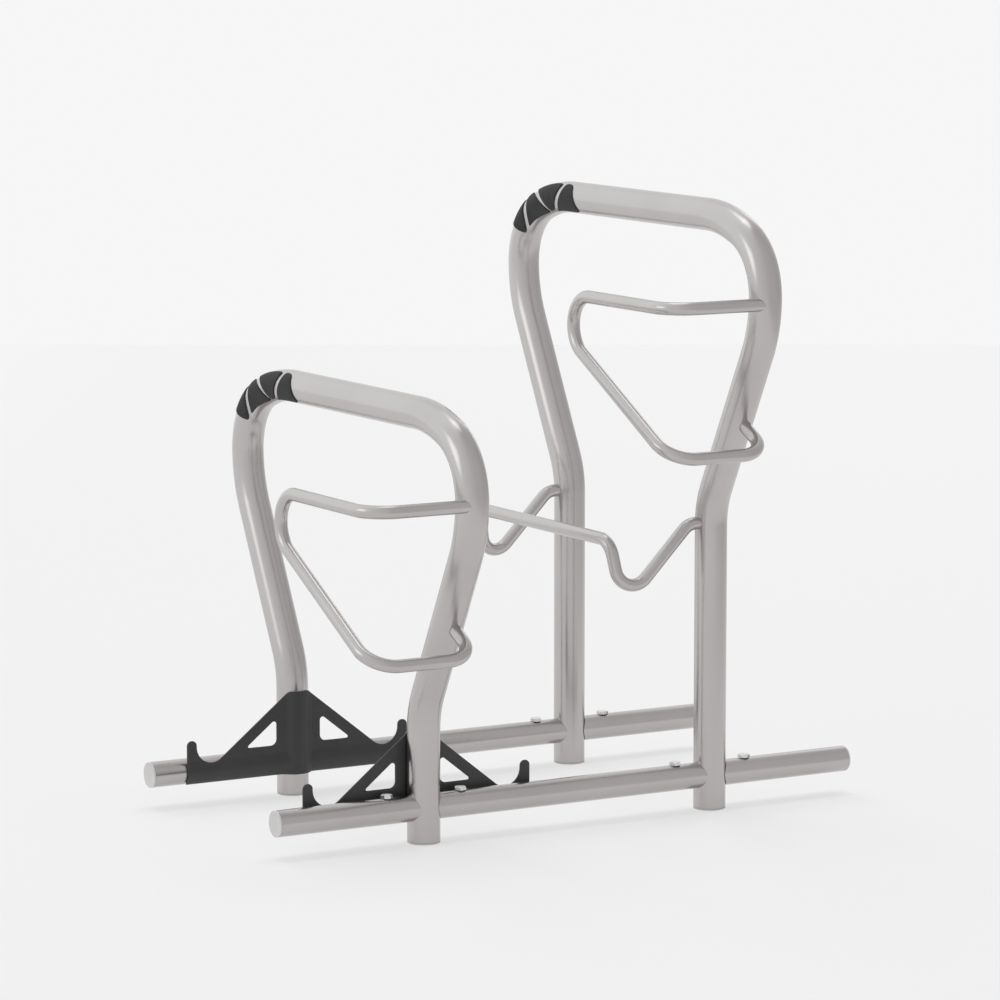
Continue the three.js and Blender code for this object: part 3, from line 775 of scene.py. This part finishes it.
def bracket_loops():
    """The bracket's outline, with a hook at each end, and its two three-cornered windows."""
    hook_top = RAIL_HEIGHT + HOOK_RISE
    half = [
        (BRACKET_END, BRACKET_FOOT, 0.0),
        (BRACKET_END, hook_top, HOOK_ROUND),
        (NOTCH_SIDE, hook_top, HOOK_ROUND),
        (NOTCH_SIDE, slope_height(NOTCH_SIDE), NOTCH_RADIUS),
        (BRACKET_TOP / 2, BRACKET_HEAD, BRACKET_TOP_ROUND),
    ]
    foot = RAIL_HEIGHT + WINDOW_RISE
    head = slope_height(WINDOW_SIDE) - STRUT_WIDTH / cos(SLOPE)
    window = [
        (WINDOW_SIDE, foot, WINDOW_FOOT_ROUND),
        (WINDOW_SIDE + (head - foot) / tan(SLOPE), foot, WINDOW_TOE_ROUND),
        (WINDOW_SIDE, head, WINDOW_TOP_ROUND),
    ]
    other_half, other_window = ([(-x, z, r) for x, z, r in reversed(part)] for part in (half, window))
    return [rounded_outline(loop, BRACKET_PITCH) for loop in (half + other_half, window, other_window)]


def hump(radius, offset):
    """The height of a round shell of that radius, offset from its axis."""
    return sqrt(max(radius ** 2 - offset ** 2, 0))


def smooth_max(a, b, blend):
    """The larger of two heights, with the crease between them filled over blend."""
    overlap = max(blend - abs(a - b), 0) / blend
    return max(a, b) + overlap ** 2 * blend / 4


def bracket_depth(x, z, front):
    """How far the bracket's inner or outer face lies from the plane of the leg and the rail. A flat plate
    is blended with a shell round the leg and one round the rail, and below the rail's axis it falls away."""
    wall = BRACKET_SHELL if front else SEAT_GAP
    plate = BRACKET_OFFSET + (BRACKET_PLATE if front else 0) - max(0, RAIL_HEIGHT - z)
    leg = hump(HOOP_RADIUS + wall, x)
    rail = hump(RAIL_RADIUS + wall, z - RAIL_HEIGHT)
    depth = smooth_max(smooth_max(plate, rail, BRACKET_FILLET), leg, BRACKET_FILLET)
    return depth if front else max(depth, RAIL_RADIUS * cos(BRACKET_WRAP))


def bracket_grid():
    """Loose points for the bracket's faces, closest together where they bend round the leg and the rail."""
    fine, coarse, medium = 2.2 * MM, 5 * MM, 4 * MM
    leg_side, rail_top = 44 * MM, RAIL_HEIGHT + 22 * MM
    columns = [
        *np.arange(-BRACKET_END, -leg_side, coarse), *np.arange(-leg_side, leg_side, fine),
        *np.arange(leg_side, BRACKET_END, coarse),
    ]
    rows = [*np.arange(BRACKET_FOOT, rail_top, fine), *np.arange(rail_top, BRACKET_HEAD, medium)]
    return [(x, z) for x in columns for z in rows]


def bracket_plate(name, y):
    """A bracket on the inner side of the leg at y."""
    inward = -1 if y > 0 else 1

    def place(x, z, front, drop):
        depth = bracket_depth(x, z, front) + (-drop if front else drop)
        return (-LEG_X + inward * x, y + inward * depth, z)

    return moulded_sheet(name, bracket_loops(), bracket_grid(), place, BRACKET_EDGE, BRACKET_MARGIN)


for side, y in SIDES.items():
    finish_piece(bracket_plate(f"{side}_bracket_plate", y), "bracket", [f"{side}_wheel_bracket"], 50)

# Pads. Each joint of the row is given by two functions of t, which goes from 0 on the outside of the bend to
# 1 on the inside: its place along the tube from the middle of the top bar, and its gap, both in millimetres.
PAD_OUTSIDE, PAD_INSIDE = 20, 146
PAD_JOINTS = {
    "start": (lambda t: 188.5 + 33 * (1 - t) ** 2, lambda t: 0),
    "first": (lambda t: 244.5 + 36 * t ** 2, lambda t: 14),
    "middle": (lambda t: 302.5 + 55 * (1 - t) ** 1.5, lambda t: 8.5 + 7 * (1 - t)),
    "last": (lambda t: 380.2 + 40.5 * t ** 4, lambda t: 15),
    "end": (lambda t: 438 - 11 * t ** 2, lambda t: 0),
}
# Each pad has a joint at each long edge, with the degrees round the tube where that edge begins and ends,
# and the radii of its corners in millimetres. The edge nearer the top bar comes first. The corners go from
# its outside to its inside, and back along the other edge.
PADS = [
    ("start", (32, 146), "first", (32, 148), (14, 9, 2, 7)),
    ("first", (31, 141), "middle", (20, 141), (7, 7, 6, 5)),
    ("middle", (24, 146), "last", (24, 142), (5, 5, 12, 5)),
    ("last", (20, 139), "end", (20, 139), (5, 6, 9, 9)),
]


def hoop_axis(x, height):
    """A function that gives the place and the heading on a hoop's axis, at a distance from the middle of
    its top bar towards the far side."""
    corners = [(Vector((x, 0, height - HOOP_RADIUS)), 0.0)] + hoop_corners(x, height)[5:]
    here, foot = corners[0][0], corners[-1][0]
    runs = []
    for i in range(1, len(corners) - 1):
        at, radius = corners[i]
        into = (at - corners[i - 1][0]).normalized()
        out = (corners[i + 1][0] - at).normalized()
        turn = into.angle(out)
        reach = radius * tan(turn / 2)
        start = at - into * reach
        inward = (out - into * into.dot(out)).normalized()
        runs.append(((start - here).length, here, into, None, 0.0))
        runs.append((radius * turn, start, into, inward, radius))
        here = at + out * reach
    runs.append(((foot - here).length, here, (foot - here).normalized(), None, 0.0))

    def locate(distance):
        for length, start, heading, inward, radius in runs:
            if distance <= length:
                break
            distance -= length
        if inward is None:
            return start + heading * distance, heading
        a = distance / radius
        at = start + heading * (radius * sin(a)) + inward * (radius * (1 - cos(a)))
        return at, heading * cos(a) + inward * sin(a)

    return locate


def pad_edge(joint, side, span):
    """A long edge of a pad laid flat, as place along the tube against the way round it. It runs half a gap
    off the joint, to the side given."""
    place, gap = PAD_JOINTS[joint]
    steps = 24
    points = []
    for k in range(steps + 1):
        angle = span[0] + (span[1] - span[0]) * k / steps
        share = (angle - PAD_OUTSIDE) / (PAD_INSIDE - PAD_OUTSIDE)
        points.append(Vector(((place(share) + side * gap(share) / 2) * MM, radians(angle) * HOOP_RADIUS)))
    return points


def softened(path, corners, pitch):
    """A closed path resampled at pitch, with its corners cut by curves. corners are (number on the path,
    how far before it the curve starts), and a curve takes less than half of the edge beside it."""
    count = len(path)
    lengths = [(path[(i + 1) % count] - path[i]).length for i in range(count)]
    stations = np.concatenate([[0], np.cumsum(lengths)])
    total = stations[-1]
    most, curve_steps = 0.48, 6

    def at(distance):
        distance %= total
        i = min(int(np.searchsorted(stations, distance, "right")) - 1, count - 1)
        return path[i].lerp(path[(i + 1) % count], (distance - stations[i]) / lengths[i])

    marks = sorted((stations[i], radius) for i, radius in corners)
    spans = [(marks[(k + 1) % len(marks)][0] - mark) % total for k, (mark, _) in enumerate(marks)]
    cuts = [
        (mark, min(radius, most * spans[k], most * spans[k - 1])) for k, (mark, radius) in enumerate(marks)
    ]
    points = []
    for k, (mark, radius) in enumerate(cuts):
        a, b, c = at(mark - radius), at(mark), at(mark + radius)
        for s in range(curve_steps):
            t = s / curve_steps
            points.append(a * (1 - t) ** 2 + b * (2 * t * (1 - t)) + c * t ** 2)
        next_mark, next_radius = cuts[(k + 1) % len(cuts)]
        run = (next_mark - next_radius - mark - radius) % total
        steps = max(2, round(run / pitch))
        points += [at(mark + radius + run * s / steps) for s in range(steps)]
    return points


def pad_outline(low, low_span, high, high_span, rounds):
    """A pad laid flat, as place along the tube against the way round it. low and high are the joints at its
    long edges, nearer the top bar and farther from it."""
    across = 8
    first, last = pad_edge(low, 1, low_span), pad_edge(high, -1, high_span)[::-1]
    foot = [first[-1].lerp(last[0], k / across) for k in range(across + 1)]
    head = [last[-1].lerp(first[0], k / across) for k in range(across + 1)]
    path, marks = [], []
    for run in (first, foot, last, head):
        marks.append(len(path))
        path += run[:-1]
    return softened(path, [(mark, r * MM) for mark, r in zip(marks, rounds)], PAD_PITCH)


def hoop_pad(name, locate, shape):
    """A pad of the shape given on the hoop whose axis locate follows."""
    def place(u, v, front, drop):
        at, heading = locate(u)
        angle = v / HOOP_RADIUS
        radius = HOOP_RADIUS + (PAD_THICKNESS - PAD_FEATHER * drop if front else PAD_SEAT)
        return at - heading.cross(ALONG) * (radius * cos(angle)) - ALONG * (radius * sin(angle))

    loop = pad_outline(*shape)
    us, vs = [p.x for p in loop], [p.y for p in loop]
    columns, rows = (np.arange(min(values), max(values), PAD_GRID) for values in (us, vs))
    return moulded_sheet(name, [loop], [(u, v) for u in columns for v in rows], place, PAD_EDGE, PAD_MARGIN)


for tier, (x, height, _) in HOOPS.items():
    locate = hoop_axis(x, height)
    for i, shape in enumerate(PADS, 1):
        finish_piece(hoop_pad(f"{tier}_pad_{i}", locate, shape), "pad", [f"{tier}_hoop_pad_{i}"], 50)

# The sleeves in the legs are the CAD's own, in the steel of the tubes
for side in SIDES:
    for tier in HOOPS:
        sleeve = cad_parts[f"{side}_{tier}_sleeve"]
        sleeve.data.materials.clear()
        sleeve.data.materials.append(FINISHES["steel"])

# Studio: the camera's heading is turned from +Y towards +X, and it looks down, both in radians
scene = bpy.context.scene
scene.view_settings.view_transform = "Standard"

CAMERA_PLACE = (-4.35001, -7.53995, 1.79148)
CAMERA_TURN = 0.5234
CAMERA_DOWN = 0.1392
FILM_WIDTH = 36
FOCAL_RATIO = 4.6989
RACK_MIDDLE = Vector((0, 0, 0.5))
FLOOR_REACH = 8.1
FLOOR_GLOW = 0.66
WALL_BRIGHTEST = 1.25
WALL_SOFT_SHARE = 0.45
STRAIGHT_ON = pi / 2 - CAMERA_TURN


def toward(bearing, elevation):
    """The direction that lies bearing degrees left of the camera's heading, and elevation degrees up."""
    a, e = STRAIGHT_ON + radians(bearing), radians(elevation)
    return Vector((cos(a) * cos(e), sin(a) * cos(e), sin(e)))


def aim(thing, backward):
    """Turns a lamp or the camera, which look along their own -Z, so that backward is behind it."""
    thing.rotation_mode = "QUATERNION"
    thing.rotation_quaternion = backward.to_track_quat("Z", "Y")


def seen_or_mirrored(tree):
    """1 for a ray from the camera, from a mirroring surface or through glass, and 0 for soft light."""
    path = add(tree, "ShaderNodeLightPath").outputs
    seen = path["Is Camera Ray"]
    for other in ("Is Glossy Ray", "Is Transmission Ray"):
        seen = add(tree, "ShaderNodeMath", {0: seen, 1: path[other]}, operation="MAXIMUM")
    return seen


def studio_floor():
    """A pale matt floor, square to the camera, that ends behind the rack where the pale wall begins. Painted
    light and shade are in its colour: a little lighter far off to the left and darker far off to the right,
    where the walls are lighter and darker, and a shade darker towards the camera. A share of its paleness is
    a glow of its own, which only the eye and mirroring surfaces see, so that the shadows on it stay faint."""
    material, tree, place = new_material("pale_floor_paint")
    square = add(tree, "ShaderNodeMapping", {"Vector": place, "Rotation": (0, 0, CAMERA_TURN)})
    parts = add(tree, "ShaderNodeSeparateXYZ", {"Vector": square}).outputs
    rightness = add(tree, "ShaderNodeMapRange", {"Value": parts["X"], "From Min": -4.2, "From Max": 4.2})
    # Painted light and shade: the floor's colour lighter far off to the left and darker far off to the right
    across = add(tree, "ShaderNodeValToRGB", {"Fac": rightness}, [
        (0.22, rgb("#fdfdfd")), (0.36, rgb("#f8f8f8")), (0.68, rgb("#f8f8f8")), (0.9, rgb("#dcdcdc")),
    ])
    across.color_ramp.interpolation = "EASE"
    # Painted shade: the floor's colour a shade darker towards the camera
    painted_shade_near = add(tree, "ShaderNodeMapRange", {
        "Value": parts["Y"], "From Min": -2.0, "From Max": FLOOR_REACH, "To Min": 0.945, "To Max": 0.975,
    })
    colour = add(tree, "ShaderNodeVectorMath", {"Vector": across, "Scale": painted_shade_near}, operation="SCALE")
    matt = add(tree, "ShaderNodeBsdfDiffuse", {"Color": colour})
    glow = add(tree, "ShaderNodeEmission", {"Color": colour})
    share = add(tree, "ShaderNodeMath", {0: seen_or_mirrored(tree), 1: FLOOR_GLOW}, operation="MULTIPLY")
    shader = add(tree, "ShaderNodeMixShader", {0: share, 1: matt, 2: glow})
    add(tree, "ShaderNodeOutputMaterial", {"Surface": shader})
    turn = Matrix.Rotation(-CAMERA_TURN, 3, "Z")
    square_corners = [(-1, -1), (1, -1), (1, 1), (-1, 1)]
    corners = [turn @ Vector((x * FLOOR_REACH, y * FLOOR_REACH, 0)) for x, y in square_corners]
    floor = mesh_object("studio_floor", corners, [(0, 1, 2, 3)])
    floor.data.materials.append(material)


def studio_walls():
    """Pale walls all round: even behind the rack, lightest and a touch cooler off to the left, and darkest
    off to the right, so that the metal gets its form from them. They light matt surfaces at less than half
    of the level that the eye and mirroring surfaces see."""
    world = bpy.data.worlds.new("studio_walls")
    scene.world = world
    world.use_nodes = True
    tree = world.node_tree
    tree.nodes.clear()
    heading = add(tree, "ShaderNodeTexCoord").outputs["Generated"]
    ahead = add(tree, "ShaderNodeMapping", {"Vector": heading, "Rotation": (0, 0, -STRAIGHT_ON)})
    bearing = add(tree, "ShaderNodeTexGradient", {"Vector": ahead}, gradient_type="RADIAL")
    # The wall's level by its bearing, in degrees left of the camera's heading
    levels = [
        (-180, 0.78), (-150, 0.68), (-110, 0.66), (-80, 0.60), (-45, 0.63), (-20, 0.80), (-9, 0.922),
        (9, 0.922), (30, 1.08), (60, 1.12), (90, 1.0), (120, 0.92), (150, 0.85), (180, 0.78),
    ]
    cool, plain = (0.97, 1, 0.992), (1, 1, 1)
    stops = []
    for degrees, level in levels:
        tint = cool if 20 < degrees < 130 else plain
        stops.append(((degrees + 180) / 360, [level / WALL_BRIGHTEST * part for part in tint] + [1]))
    colour = add(tree, "ShaderNodeValToRGB", {"Fac": bearing.outputs["Fac"]}, stops)
    strength = add(tree, "ShaderNodeMapRange", {
        "Value": seen_or_mirrored(tree),
        "To Min": WALL_SOFT_SHARE * WALL_BRIGHTEST, "To Max": WALL_BRIGHTEST,
    })
    background = add(tree, "ShaderNodeBackground", {"Color": colour, "Strength": strength})
    add(tree, "ShaderNodeOutputWorld", {"Surface": background})


def softbox(name, bearing, elevation, away, width, height, brightness):
    """A soft lamp that faces the rack. brightness is that of its face, where the pale wall's is about 1."""
    data = bpy.data.lights.new(name, "AREA")
    data.shape = "RECTANGLE"
    data.size, data.size_y = width, height
    data.energy = brightness * pi * width * height
    made = new_object(name, data)
    place = toward(bearing, elevation)
    made.location = place * away + RACK_MIDDLE
    aim(made, place)


def broad_lamp(name, bearing, elevation, spread, strength):
    """A far, wide lamp, spread degrees across, that draws the shadows. The metal doesn't mirror it."""
    data = bpy.data.lights.new(name, "SUN")
    data.angle = radians(spread)
    data.energy = strength
    made = new_object(name, data)
    aim(made, toward(bearing, elevation))
    made.visible_glossy = False


studio_floor()
studio_walls()
softbox("left_softbox", 111, 25, 6, 2.7, 2.5, 0.85)
softbox("right_softbox", -22, 22, 9, 1.8, 5.0, 0.7)
softbox("top_softbox", -8, 74, 5, 1.6, 1.7, 1.1)
broad_lamp("overhead_lamp_left", 55, 80, 26, 0.62)
broad_lamp("overhead_lamp_right", -41, 65, 26, 0.64)
broad_lamp("back_lamp", 30, 42, 36, 0.75)

camera_data = bpy.data.cameras.new("camera")
camera_data.sensor_width = FILM_WIDTH
camera_data.lens = FILM_WIDTH * FOCAL_RATIO
camera = new_object("camera", camera_data)
camera.location = CAMERA_PLACE
level = cos(CAMERA_DOWN)
aim(camera, Vector((-sin(CAMERA_TURN) * level, -cos(CAMERA_TURN) * level, sin(CAMERA_DOWN))))
scene.camera = camera
